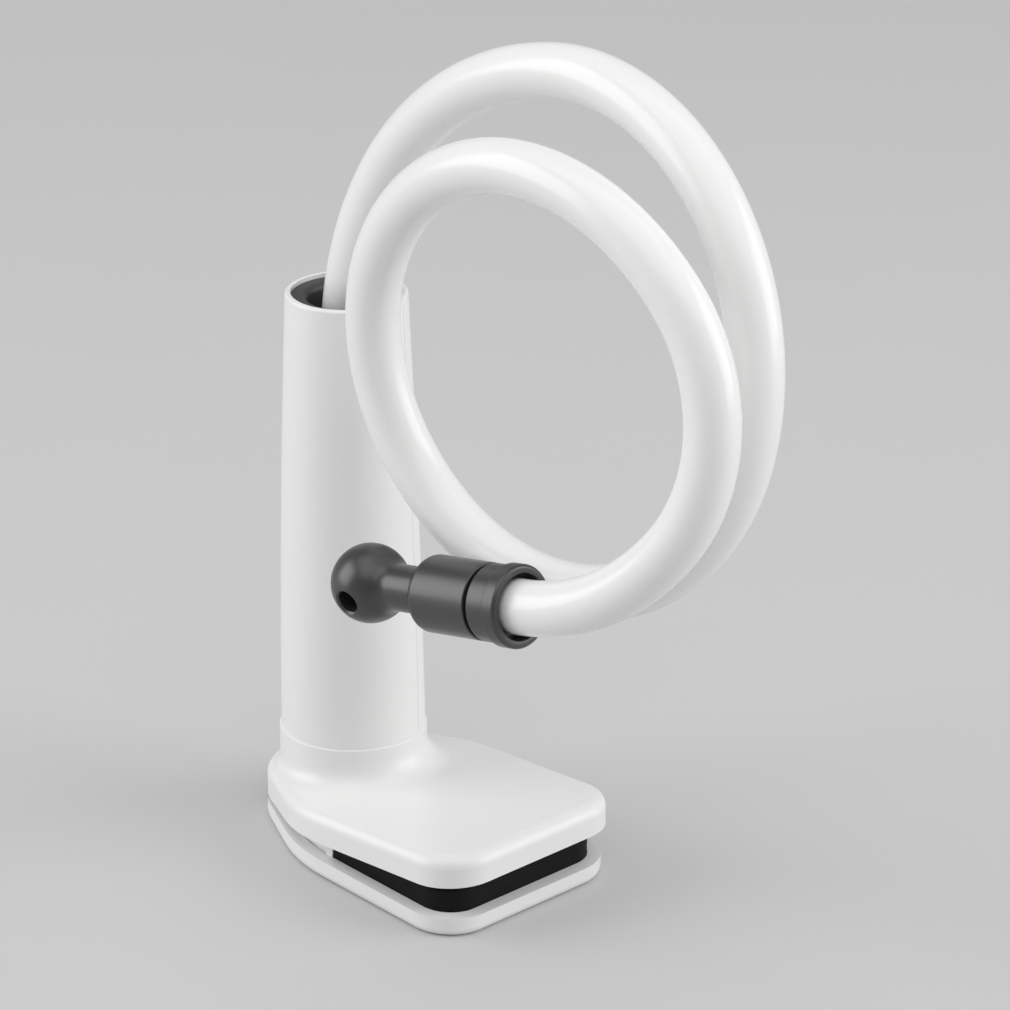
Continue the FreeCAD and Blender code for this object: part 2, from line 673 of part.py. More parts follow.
def ball_stud():
    """Ball on a waisted neck, with a round body that takes the arm's core."""
    neck = Part.makeCylinder(NECK_R, BODY_SOCKET_START)
    body = turned([
        (0, BODY_START),
        (BODY_R, BODY_START),
        (BODY_R, BODY_END),
        (BODY_SPIGOT_R, BODY_END),
        (BODY_SPIGOT_R, BODY_SPIGOT_END),
        (0, BODY_SPIGOT_END),
    ])
    shoulder = [edge for edge in body.Edges if is_ring_at(edge, BODY_START)]
    body = body.makeFillet(BODY_SHOULDER_R, shoulder)
    stud = Part.makeSphere(BALL_R).fuse(neck).fuse(body)
    at_ball = math.sqrt(BALL_R ** 2 - NECK_R ** 2)
    stud = stud.makeFillet(NECK_FILLET_R, [edge for edge in stud.Edges if is_ring_at(edge, at_ball)])
    stud = stud.cut(Part.makeCylinder(BALL_HOLE_R, 2 * FAR, V(-FAR, 0, 0), ALONG_X))
    stud = stud.cut(Part.makeCylinder(CORE_R + CORE_CLEAR, FAR, V(0, 0, BODY_SOCKET_START)))
    stud.Placement = connector_place()
    return stud


def end_ferrule():
    """Ferrule behind the stud's body: grips the sleeve and ends in a wider ring."""
    start = BODY_END + FERRULE_GAP
    body = turned([
        (BODY_SPIGOT_R + FERRULE_CLEAR, start),
        (BODY_R, start),
        (BODY_R, FERRULE_RING_START),
        (FERRULE_RING_R, FERRULE_RING_START),
        (FERRULE_RING_R, FERRULE_END),
        (FERRULE_MOUTH_R, FERRULE_END),
        (FERRULE_MOUTH_R, FERRULE_GRIP_END),
        (SLEEVE_R + FERRULE_CLEAR, FERRULE_GRIP_END),
        (SLEEVE_R + FERRULE_CLEAR, BODY_SPIGOT_END),
        (BODY_SPIGOT_R + FERRULE_CLEAR, BODY_SPIGOT_END),
    ])
    ends = [edge for edge in body.Edges if is_ring_at(edge, FERRULE_END)]
    body = body.makeFillet(FERRULE_EDGE_R, ends)
    body.Placement = connector_place()
    return body


def leaned(shape):
    """A piece of the upper clamp, turned back about the hinge with the column."""
    shape.rotate(HINGE, ALONG_X, -LEAN_DEG)
    return shape


def build():
    """Every sub-part under its node name."""
    left, right = column_halves()
    return {
        "lower_jaw": lower_jaw(),
        "lower_pad": lower_pad(),
        "torsion_spring": torsion_spring(),
        "upper_jaw": leaned(upper_jaw()),
        "upper_pad": leaned(upper_pad()),
        "hinge_pin": leaned(hinge_pin()),
        "column_left_shell": leaned(left),
        "column_right_shell": leaned(right),
        "column_screws": leaned(column_screws()),
        "mouth_ring": leaned(mouth_ring()),
        "arm_screw": leaned(arm_screw()),
        "arm_plug": leaned(arm_plug()),
        "arm_core": leaned(arm_core()),
        "arm_sleeve": leaned(arm_sleeve()),
        "end_ferrule": leaned(end_ferrule()),
        "ball_stud": leaned(ball_stud()),
    }


os.makedirs("parts", exist_ok=True)
for name, shape in build().items():
    shape.exportStep("parts/" + name + ".step")
    print(name, len(shape.Solids), round(shape.Volume, 1), shape.isValid())
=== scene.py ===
"""Gooseneck tablet holder: finishes, smooth outer pieces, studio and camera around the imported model."""
import json
import math

import bmesh
import bpy
from bpy.props import FloatProperty, FloatVectorProperty, IntProperty, PointerProperty
from mathutils import Matrix, Vector


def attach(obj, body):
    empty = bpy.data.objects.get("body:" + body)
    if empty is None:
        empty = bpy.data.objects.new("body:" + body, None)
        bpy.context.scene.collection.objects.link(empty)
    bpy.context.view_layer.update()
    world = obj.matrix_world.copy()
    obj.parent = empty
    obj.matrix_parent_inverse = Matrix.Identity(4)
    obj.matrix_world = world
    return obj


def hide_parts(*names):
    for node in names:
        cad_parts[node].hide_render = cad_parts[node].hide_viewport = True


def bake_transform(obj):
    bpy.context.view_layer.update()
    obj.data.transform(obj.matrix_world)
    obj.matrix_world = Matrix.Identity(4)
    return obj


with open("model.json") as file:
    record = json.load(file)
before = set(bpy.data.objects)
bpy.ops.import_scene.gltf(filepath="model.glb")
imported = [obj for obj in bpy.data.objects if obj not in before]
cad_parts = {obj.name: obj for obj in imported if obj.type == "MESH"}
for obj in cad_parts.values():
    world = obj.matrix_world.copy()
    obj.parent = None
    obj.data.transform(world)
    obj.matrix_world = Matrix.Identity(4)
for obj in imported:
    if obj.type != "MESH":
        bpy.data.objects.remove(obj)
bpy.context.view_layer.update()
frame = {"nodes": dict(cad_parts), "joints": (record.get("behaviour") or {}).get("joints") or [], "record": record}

bl_info = {
    "name": "Gooseneck Holder",
    "version": (1, 0, 0),
    "blender": (4, 5, 0),
    "location": "View3D > Sidebar > Holder",
    "description": "Dresses a gooseneck tablet holder and sets up its studio",
    "category": "Add Mesh",
}

MM = 0.001
UPPER = "upper_clamp"
UP = Vector((0, 0, 1))
ALONG_PIN = Vector((1, 0, 0))
WELD = 0.001 * MM
SHARP = math.radians(40)

# How finely the connector's round stretches are cut, and how far the neck's flare goes into the ball
FLARE_SUNK = math.radians(4)
FLARE_STEPS = 10
BALL_STEPS = 44
SHOULDER_SEGMENTS = 8
LIP_SEGMENTS = 5
EDGE_SEGMENTS = 3

# Part of a noise's range that is spread over a finish, and the noise's detail
NOISE_LOW = 0.1
NOISE_HIGH = 0.9
FINE_DETAIL = 2.0
SOFT_DETAIL = 1.0

# Studio: floor and view in metres, camera back in millimetres, softboxes with place and power in watts
FLOOR_HALF = 3.0
FLOOR_CELLS = 8
FLOOR_DROP = 0.02 * MM
SENSOR = 36.0
VIEW_DEPTH = 50.0
WHITE_LIGHT = (1.0, 1.0, 1.0, 1.0)
SOFTBOXES = (
    ("left box", (-1.48, 1.41, 0.87), 25.0),
    ("right box", (1.37, -1.57, 0.87), 25.0),
    ("overhead", (-0.2, -0.3, 1.3), 9.8),
)

# The arm's bends: radius as a share of the coil's, angle, and roll before the next bend in degrees
ARM_BENDS = (
    (1.68, 79.0, -6.0),
    (1.14, 114.0, -7.0),
    (1.06, 93.0, -9.0),
    (0.93, 100.0, -1.0),
    (1.06, 111.0, -12.0),
    (0.85, 79.0, 10.0),
    (1.2, 45.0, 0.0),
)

# Places that the frame gives
MOUNTS = {mount["name"]: mount for mount in frame["record"]["mounts"]}
HINGE = Vector(frame["joints"][0]["pos_m"])


# Sizes, colours and studio that a user would change
class HolderArm(bpy.types.PropertyGroup):
    """Sizes of the flexible arm's sleeve."""

    radius: FloatProperty(name="Radius", description="Outer radius of the sleeve", default=5.8 * MM,
                          subtype="DISTANCE", unit="LENGTH")
    foot: FloatProperty(name="Foot", description="Height where the sleeve starts inside the column",
                        default=34.0 * MM, subtype="DISTANCE", unit="LENGTH")
    rise: FloatProperty(name="Rise", description="Height where the first bend starts", default=110.9 * MM,
                        subtype="DISTANCE", unit="LENGTH")
    coil: FloatProperty(name="Coil", description="Radius of a plain turn of the coil", default=48.0 * MM,
                        subtype="DISTANCE", unit="LENGTH")
    tail: FloatProperty(name="Tail", description="Straight length inside the ferrule", default=7.0 * MM,
                        subtype="DISTANCE", unit="LENGTH")
    first_turn: FloatProperty(name="First turn", description="Direction of the first bend, seen from above",
                              default=math.radians(-91.0), subtype="ANGLE")
    lean: FloatProperty(name="Lean", description="How far the column and the arm lean back about the hinge",
                        default=math.radians(3.0), subtype="ANGLE")
    sides: IntProperty(name="Sides", description="Sides of the sleeve's round section", default=56)
    step: FloatProperty(name="Step", description="Angle between two sections of a bend",
                        default=math.radians(1.5), subtype="ANGLE")


class HolderConnector(bpy.types.PropertyGroup):
    """Sizes of the ball connector, with lengths from the ball's centre towards the arm."""

    ball: FloatProperty(name="Ball", description="Radius of the ball", default=8.5 * MM,
                        subtype="DISTANCE", unit="LENGTH")
    hole: FloatProperty(name="Hole", description="Radius of the hole across the ball", default=2.5 * MM,
                        subtype="DISTANCE", unit="LENGTH")
    hole_rim: FloatProperty(name="Hole rim", description="Width of the chamfer round the hole",
                            default=0.4 * MM, subtype="DISTANCE", unit="LENGTH")
    neck: FloatProperty(name="Neck", description="Radius of the neck", default=5.0 * MM,
                        subtype="DISTANCE", unit="LENGTH")
    flare: FloatProperty(name="Flare", description="Radius of the blend from the neck to the ball",
                         default=5.0 * MM, subtype="DISTANCE", unit="LENGTH")
    body: FloatProperty(name="Body", description="Radius of the stud's body and the ferrule",
                        default=8.2 * MM, subtype="DISTANCE", unit="LENGTH")
    body_start: FloatProperty(name="Body start", description="Where the body begins", default=17.5 * MM,
                              subtype="DISTANCE", unit="LENGTH")
    body_end: FloatProperty(name="Body end", description="Where the body ends", default=34.2 * MM,
                            subtype="DISTANCE", unit="LENGTH")
    shoulder: FloatProperty(name="Shoulder", description="Rounding of the body's front", default=2.0 * MM,
                            subtype="DISTANCE", unit="LENGTH")
    spigot: FloatProperty(name="Spigot", description="Radius of the spigot inside the ferrule",
                          default=6.8 * MM, subtype="DISTANCE", unit="LENGTH")
    spigot_end: FloatProperty(name="Spigot end", description="Where the spigot ends", default=36.5 * MM,
                              subtype="DISTANCE", unit="LENGTH")
    socket: FloatProperty(name="Socket", description="Radius of the socket for the core", default=4.08 * MM,
                          subtype="DISTANCE", unit="LENGTH")
    socket_start: FloatProperty(name="Socket start", description="Where the socket's floor is",
                                default=20.0 * MM, subtype="DISTANCE", unit="LENGTH")
    groove: FloatProperty(name="Groove", description="Gap between the body and the ferrule",
                          default=0.9 * MM, subtype="DISTANCE", unit="LENGTH")
    ring: FloatProperty(name="Ring", description="Radius of the ferrule's end ring", default=8.8 * MM,
                        subtype="DISTANCE", unit="LENGTH")
    ring_start: FloatProperty(name="Ring start", description="Where the end ring begins", default=39.9 * MM,
                              subtype="DISTANCE", unit="LENGTH")
    ring_end: FloatProperty(name="Ring end", description="Where the end ring ends", default=43.5 * MM,
                            subtype="DISTANCE", unit="LENGTH")
    mouth: FloatProperty(name="Mouth", description="Radius of the recess round the sleeve",
                         default=7.0 * MM, subtype="DISTANCE", unit="LENGTH")
    grip_end: FloatProperty(name="Grip end", description="Where the grip on the sleeve ends",
                            default=39.8 * MM, subtype="DISTANCE", unit="LENGTH")
    clear: FloatProperty(name="Clearance", description="Room round the sleeve and the spigot",
                         default=0.08 * MM, subtype="DISTANCE", unit="LENGTH")
    edge: FloatProperty(name="Edge", description="Rounding of the small edges", default=0.3 * MM,
                        subtype="DISTANCE", unit="LENGTH")
    lip: FloatProperty(name="Lip", description="Rounding of the end ring's outer edge", default=0.8 * MM,
                       subtype="DISTANCE", unit="LENGTH")
    sides: IntProperty(name="Sides", description="Sides of the round shapes", default=96)


class HolderSpring(bpy.types.PropertyGroup):
    """Sizes of the torsion spring round the hinge pin."""

    wire: FloatProperty(name="Wire", description="Radius of the wire", default=0.65 * MM,
                        subtype="DISTANCE", unit="LENGTH")
    coil: FloatProperty(name="Coil", description="Radius of the coil at the middle of the wire",
                        default=2.9 * MM, subtype="DISTANCE", unit="LENGTH")
    pitch: FloatProperty(name="Pitch", description="Advance of one turn along the pin", default=1.5 * MM,
                         subtype="DISTANCE", unit="LENGTH")
    turns: FloatProperty(name="Turns", description="Turns between legs that lie along level jaws",
                         default=4.5)
    leg: FloatProperty(name="Leg", description="Length of each straight leg", default=21.5 * MM,
                       subtype="DISTANCE", unit="LENGTH")
    sides: IntProperty(name="Sides", description="Sides of the wire's round section", default=16)
    step: FloatProperty(name="Step", description="Angle between two sections of the coil",
                        default=math.radians(8.0), subtype="ANGLE")


class HolderColours(bpy.types.PropertyGroup):
    """Colours of the finishes."""

    white: FloatVectorProperty(name="White moulding", description="Colour of the jaws and the column",
                               default=(0.85, 0.85, 0.845), size=3, subtype="COLOR")
    sleeve: FloatVectorProperty(name="Sleeve", description="Colour of the arm's sleeve",
                                default=(0.87, 0.87, 0.865), size=3, subtype="COLOR")
    rubber: FloatVectorProperty(name="Rubber", description="Colour of the grip pads",
                                default=(0.005, 0.005, 0.0052), size=3, subtype="COLOR")
    connector: FloatVectorProperty(name="Connector", description="Colour of the ball stud and the ferrule",
                                   default=(0.028, 0.028, 0.029), size=3, subtype="COLOR")
    ring: FloatVectorProperty(name="Mouth ring", description="Colour of the ring in the column's mouth",
                              default=(0.05, 0.05, 0.053), size=3, subtype="COLOR")
    steel: FloatVectorProperty(name="Steel", description="Colour of the screws, plug, pin and spring",
                               default=(0.52, 0.53, 0.54), size=3, subtype="COLOR")
    floor: FloatVectorProperty(name="Floor", description="Colour of the studio floor",
                               default=(0.60, 0.60, 0.60), size=3, subtype="COLOR")


class HolderStudio(bpy.types.PropertyGroup):
    """Camera and light of the studio."""

    place: FloatVectorProperty(name="Camera place", description="Where the camera stands",
                               default=(-0.70967, -0.75968, 0.55372), size=3, subtype="TRANSLATION")
    azimuth: FloatProperty(name="Azimuth", description="Camera's turn about the vertical",
                           default=math.radians(-44.793), subtype="ANGLE")
    elevation: FloatProperty(name="Elevation", description="How far the camera looks down",
                             default=math.radians(24.606), subtype="ANGLE")
    roll: FloatProperty(name="Roll", description="Camera's turn about its line of sight",
                        default=math.radians(2.057), subtype="ANGLE")
    lens: FloatProperty(name="Lens", description="Focal length in millimetres", default=185.35,
                        unit="CAMERA")
    world: FloatProperty(name="World light", description="Strength of the even light all round",
                         default=0.36)
    aim: FloatVectorProperty(name="Aim", description="Point that the softboxes face",
                             default=(0.0, -0.05, 0.09), size=3, subtype="TRANSLATION")
    box_side: FloatProperty(name="Softbox side", description="Side of each square softbox", default=1.7,
                            subtype="DISTANCE", unit="LENGTH")


# Node groups of the finishes
def add_group(name, inputs, outputs):
    """New shader node group with named sockets; returns the group and its two ends."""
    group = bpy.data.node_groups.new(name, "ShaderNodeTree")
    for socket, kind, default in inputs:
        made = group.interface.new_socket(socket, in_out="INPUT", socket_type=kind)
        if default is not None:
            made.default_value = default
    for socket, kind in outputs:
        group.interface.new_socket(socket, in_out="OUTPUT", socket_type=kind)
    return group, group.nodes.new("NodeGroupInput"), group.nodes.new("NodeGroupOutput")


def mottle_group():
    """Slow change between two near colours, as in a moulded or extruded plastic."""
    group, start, end = add_group(
        "mottle",
        [("Vector", "NodeSocketVector", None), ("Scale", "NodeSocketFloat", 30.0),
         ("Main", "NodeSocketColor", None), ("Shade", "NodeSocketColor", None)],
        [("Color", "NodeSocketColor")],
    )
    noise = group.nodes.new("ShaderNodeTexNoise")
    noise.inputs["Detail"].default_value = FINE_DETAIL
    spread = group.nodes.new("ShaderNodeMapRange")
    spread.inputs["From Min"].default_value = NOISE_LOW
    spread.inputs["From Max"].default_value = NOISE_HIGH
    mix = group.nodes.new("ShaderNodeMix")
    mix.data_type = "RGBA"
    link = group.links.new
    link(start.outputs["Vector"], noise.inputs["Vector"])
    link(start.outputs["Scale"], noise.inputs["Scale"])
    link(noise.outputs["Fac"], spread.inputs["Value"])
    link(spread.outputs["Result"], mix.inputs["Factor"])
    link(start.outputs["Main"], mix.inputs["A"])
    link(start.outputs["Shade"], mix.inputs["B"])
    link(mix.outputs["Result"], end.inputs["Color"])
    return group


def grain_group():
    """Fine raised grain of a moulded or extruded skin, as a height."""
    group, start, end = add_group(
        "grain",
        [("Vector", "NodeSocketVector", None), ("Scale", "NodeSocketFloat", 900.0)],
        [("Height", "NodeSocketFloat")],
    )
    noise = group.nodes.new("ShaderNodeTexNoise")
    noise.inputs["Detail"].default_value = FINE_DETAIL
    link = group.links.new
    link(start.outputs["Vector"], noise.inputs["Vector"])
    link(start.outputs["Scale"], noise.inputs["Scale"])
    link(noise.outputs["Fac"], end.inputs["Height"])
    return group


def pebble_group():
    """Small round pebbles of a matt rubber, as a height."""
    group, start, end = add_group(
        "pebble",
        [("Vector", "NodeSocketVector", None), ("Scale", "NodeSocketFloat", 900.0)],
        [("Height", "NodeSocketFloat")],
    )
    cells = group.nodes.new("ShaderNodeTexVoronoi")
    link = group.links.new
    link(start.outputs["Vector"], cells.inputs["Vector"])
    link(start.outputs["Scale"], cells.inputs["Scale"])
    link(cells.outputs["Distance"], end.inputs["Height"])
    return group


def handling_group():
    """Roughness that drifts between a clean and a handled value in soft patches."""
    group, start, end = add_group(
        "handling",
        [("Vector", "NodeSocketVector", None), ("Scale", "NodeSocketFloat", 24.0),
         ("Clean", "NodeSocketFloat", 0.3), ("Handled", "NodeSocketFloat", 0.4)],
        [("Roughness", "NodeSocketFloat")],
    )
    patches = group.nodes.new("ShaderNodeTexNoise")
    patches.inputs["Detail"].default_value = SOFT_DETAIL
    spread = group.nodes.new("ShaderNodeMapRange")
    spread.inputs["From Min"].default_value = NOISE_LOW
    spread.inputs["From Max"].default_value = NOISE_HIGH
    link = group.links.new
    link(start.outputs["Vector"], patches.inputs["Vector"])
    link(start.outputs["Scale"], patches.inputs["Scale"])
    link(patches.outputs["Fac"], spread.inputs["Value"])
    link(start.outputs["Clean"], spread.inputs["To Min"])
    link(start.outputs["Handled"], spread.inputs["To Max"])
    link(spread.outputs["Result"], end.inputs["Roughness"])
    return group


GROUP_MAKERS = {"mottle": mottle_group, "grain": grain_group, "pebble": pebble_group,
                "handling": handling_group}


def place_group(tree, name, coords, values):
    """Shared node group in a material, with its own values and the piece's Object coordinates."""
    node = tree.nodes.new("ShaderNodeGroup")
    node.node_tree = bpy.data.node_groups.get(name) or GROUP_MAKERS[name]()
    for socket, value in values.items():
        node.inputs[socket].default_value = value
    tree.links.new(coords.outputs["Object"], node.inputs["Vector"])
    return node


# Finishes
def toned(colour, share):
    """A colour with alpha, at a share of its brightness."""
    return (colour[0] * share, colour[1] * share, colour[2] * share, 1.0)


def finish(name, colour, *, shade, mottle, relief, grain, height, clean, handled, specular=0.5,
           metallic=0.0):
    """Finish with a mottled colour, a fine relief and a handled roughness, each from its own node group."""
    material = bpy.data.materials.get(name)
    if material:
        return material
    material = bpy.data.materials.new(name)
    material.use_nodes = True
    tree = material.node_tree
    shader = tree.nodes["Principled BSDF"]
    shader.inputs["Specular IOR Level"].default_value = specular
    shader.inputs["Metallic"].default_value = metallic
    coords = tree.nodes.new("ShaderNodeTexCoord")
    colours = {"Scale": mottle, "Main": toned(colour, 1.0), "Shade": toned(colour, shade)}
    tone = place_group(tree, "mottle", coords, colours)
    skin = place_group(tree, relief, coords, {"Scale": grain})
    touch = place_group(tree, "handling", coords, {"Clean": clean, "Handled": handled})
    bump = tree.nodes.new("ShaderNodeBump")
    bump.inputs["Distance"].default_value = height
    tree.links.new(tone.outputs["Color"], shader.inputs["Base Color"])
    tree.links.new(touch.outputs["Roughness"], shader.inputs["Roughness"])
    tree.links.new(skin.outputs["Height"], bump.inputs["Height"])
    tree.links.new(bump.outputs["Normal"], shader.inputs["Normal"])
    return material


def white_moulding():
    """Semi-gloss white moulding of the jaws and the column."""
    colour = bpy.context.scene.holder_colours.white
    return finish("white moulding", colour, shade=0.985, mottle=16.0, relief="grain", grain=1500.0,
                  height=0.004 * MM, clean=0.285, handled=0.335)


def sleeve_white():
    """Glossy white skin of the arm."""
    colour = bpy.context.scene.holder_colours.sleeve
    return finish("sleeve white", colour, shade=0.985, mottle=14.0, relief="grain", grain=420.0,
                  height=0.005 * MM, clean=0.2, handled=0.25)


def pad_rubber():
    """Matt black rubber with a fine pebble."""
    colour = bpy.context.scene.holder_colours.rubber
    return finish("pad rubber", colour, shade=1.6, mottle=90.0, relief="pebble", grain=1700.0,
                  height=0.05 * MM, clean=0.62, handled=0.74, specular=0.15)


def connector_plastic():
    """Dark satin plastic of the ball stud and the ferrule, with a visible moulded grain."""
    colour = bpy.context.scene.holder_colours.connector
    return finish("connector plastic", colour, shade=0.82, mottle=150.0, relief="grain", grain=2600.0,
                  height=0.018 * MM, clean=0.29, handled=0.37, specular=0.85)


def ring_plastic():
    """Dark grey plastic of the ring in the column's mouth."""
    colour = bpy.context.scene.holder_colours.ring
    return finish("ring plastic", colour, shade=0.85, mottle=120.0, relief="grain", grain=2000.0,
                  height=0.02 * MM, clean=0.4, handled=0.5)


def plated_steel():
    """Zinc-plated steel of the screws, plug, pin and spring."""
    colour = bpy.context.scene.holder_colours.steel
    return finish("plated steel", colour, shade=0.82, mottle=260.0, relief="grain", grain=2600.0,
                  height=0.01 * MM, clean=0.29, handled=0.4, metallic=1.0)


def floor_material():
    """Plain pale floor with a barely visible unevenness."""
    colour = bpy.context.scene.holder_colours.floor
    return finish("studio floor", colour, shade=0.985, mottle=3.0, relief="grain", grain=60.0,
                  height=0.02 * MM, clean=0.55, handled=0.62)


# Pieces
def dress(nodes, material):
    """Put a finish on CAD nodes."""
    for name in nodes:
        for slot in frame["nodes"][name].material_slots:
            slot.material = material


def add_piece(mesh_name, mesh, material, body, replaced):
    """Finished mesh as an object in place of CAD nodes; one without a body stays unattached, and its operator
    bakes its transform.
    """
    data = bpy.data.meshes.new(mesh_name)
    mesh.to_mesh(data)
    mesh.free()
    data.shade_smooth()
    data.materials.append(material)
    piece = bpy.data.objects.new(mesh_name, data)
    bpy.context.scene.collection.objects.link(piece)
    if body:
        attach(piece, body)
    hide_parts(*replaced)
    return piece


def ring_edges(verts):
    """Edges between the vertices of one ring."""
    inside = set(verts)
    found = set()
    for vert in verts:
        for edge in vert.link_edges:
            if edge.other_vert(vert) in inside:
                found.add(edge)
    return list(found)


def extrude_ring(mesh, edges, travel):
    """Pull a ring of edges along and return the new ring."""
    made = bmesh.ops.extrude_edge_only(mesh, edges=edges)
    verts = [part for part in made["geom"] if isinstance(part, bmesh.types.BMVert)]
    bmesh.ops.translate(mesh, verts=verts, vec=travel)
    return ring_edges(verts)


def last_ring(spin):
    """Edges of the ring that a spin ends on."""
    return [part for part in spin["geom_last"] if isinstance(part, bmesh.types.BMEdge)]


class HOLDER_OT_sleeve(bpy.types.Operator):
    """Make the arm's smooth sleeve by spinning its round section through every bend"""

    bl_idname = "holder.sleeve"
    bl_label = "Arm Sleeve"

    def execute(self, context):
        arm = context.scene.holder_arm
        mesh = bmesh.new()
        foot = Matrix.Translation((0, 0, arm.foot))
        ring = bmesh.ops.create_circle(mesh, segments=arm.sides, radius=arm.radius, cap_ends=True,
                                       matrix=foot)
        edges = extrude_ring(mesh, ring_edges(ring["verts"]), UP * (arm.rise - arm.foot))
        place = UP * arm.rise
        heading = UP.copy()
        inward = Vector((math.cos(arm.first_turn), math.sin(arm.first_turn), 0))
        for share, angle, roll in ARM_BENDS:
            turn = math.radians(angle)
            centre = place + inward * share * arm.coil
            axis = heading.cross(inward)
            steps = max(1, round(turn / arm.step))
            made = bmesh.ops.spin(mesh, geom=edges, cent=centre, axis=axis, angle=turn, steps=steps)
            edges = last_ring(made)
            swing = Matrix.Rotation(turn, 3, axis)
            place = centre + swing @ (place - centre)
            heading = swing @ heading
            inward = Matrix.Rotation(math.radians(roll), 3, heading) @ (swing @ inward)
        edges = extrude_ring(mesh, edges, heading * arm.tail)
        bmesh.ops.edgeloop_fill(mesh, edges=edges)
        bmesh.ops.recalc_face_normals(mesh, faces=mesh.faces)
        lean = Matrix.Rotation(-arm.lean, 3, ALONG_PIN)
        bmesh.ops.rotate(mesh, verts=mesh.verts, cent=HINGE, matrix=lean)
        add_piece("gooseneck_sleeve", mesh, sleeve_white(), UPPER, ["arm_sleeve"])
        return {"FINISHED"}


class HOLDER_OT_mouldings(bpy.types.Operator):
    """Finish the white mouldings: both jaws and both column shells"""

    bl_idname = "holder.mouldings"
    bl_label = "White Mouldings"

    def execute(self, context):
        dress(["lower_jaw", "upper_jaw", "column_left_shell", "column_right_shell"], white_moulding())
        return {"FINISHED"}


class HOLDER_OT_pads(bpy.types.Operator):
    """Finish the rubber grip pads"""

    bl_idname = "holder.pads"
    bl_label = "Grip Pads"

    def execute(self, context):
        dress(["lower_pad", "upper_pad"], pad_rubber())
        return {"FINISHED"}


def spun(mesh, profile, closed, axis, sides):
    """Spin a profile of (radius, along) points into a round shape about an axis through the origin."""
    side = Vector((0, 1, 0))
    verts = [mesh.verts.new(side * radius + axis * along) for radius, along in profile]
    edges = [mesh.edges.new(pair) for pair in zip(verts, verts[1:])]
    if closed:
        edges.append(mesh.edges.new((verts[-1], verts[0])))
    bmesh.ops.spin(mesh, geom=verts + edges, cent=(0, 0, 0), axis=axis, angle=math.tau, steps=sides,
                   use_merge=True)
    bmesh.ops.remove_doubles(mesh, verts=mesh.verts, dist=WELD)
    bmesh.ops.recalc_face_normals(mesh, faces=mesh.faces)


def round_edge(mesh, radius, along, offset, segments):
    """Round the ring of edges at one place of a shape that is spun about Z."""
    ring = []
    for edge in mesh.edges:
        ends = [(math.hypot(v.co.x, v.co.y) - radius, v.co.z - along) for v in edge.verts]
        if all(abs(value) < WELD for end in ends for value in end):
            ring.append(edge)
    bmesh.ops.bevel(mesh, geom=ring, offset=offset, offset_type="OFFSET", segments=segments, profile=0.5,
                    affect="EDGES", material=-1)


def connector_matrix():
    """Place of the ball's centre, with Z towards the arm and X along the cross hole."""
    along = -Vector(MOUNTS["ball_end"]["axis"])
    across = Vector(MOUNTS["ball_cross_hole"]["axis"])
    rows = Matrix((across, along.cross(across), along)).transposed()
    return Matrix.Translation(MOUNTS["ball_end"]["pos_m"]) @ rows.to_4x4()


def arc(centre, radius, start, end, steps):
    """Points of a round stretch of a profile, from one angle to another."""
    points = []
    for step in range(steps + 1):
        angle = start + (end - start) * step / steps
        points.append((centre[0] + radius * math.cos(angle), centre[1] + radius * math.sin(angle)))
    return points


